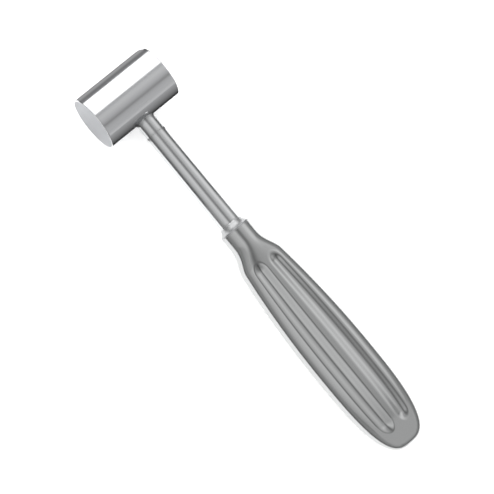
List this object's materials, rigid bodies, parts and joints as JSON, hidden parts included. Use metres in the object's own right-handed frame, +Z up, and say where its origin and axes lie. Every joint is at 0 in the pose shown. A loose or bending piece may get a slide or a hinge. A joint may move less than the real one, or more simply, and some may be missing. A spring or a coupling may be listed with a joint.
{
  "type": "surgical mallet",
  "caption": "Stainless steel surgical mallet: solid cylindrical head across a slim turned shaft, with a hollow oval grip fluted on both broad faces.",
  "frame": {"origin": "on the supporting surface, below the middle of the mallet's bounding box, with the mallet lying on a broad face of its grip and the side of its head", "axes": "+X from the head along the shaft to the butt, +Y along the axis of the head towards one striking face, +Z up, square to the surface that the mallet lies on"},
  "size_m": [0.2399, 0.044, 0.03],
  "materials": {
    "polished_steel": "polished stainless steel",
    "shaft_steel": "satin stainless steel, turned",
    "satin_steel": "satin stainless steel, bead blasted"
  },
  "bodies": {
    "root": {"head": "polished_steel", "shaft": "shaft_steel", "grip_upper_shell": "satin_steel", "grip_lower_shell": "satin_steel"}
  },
  "joints": []
}
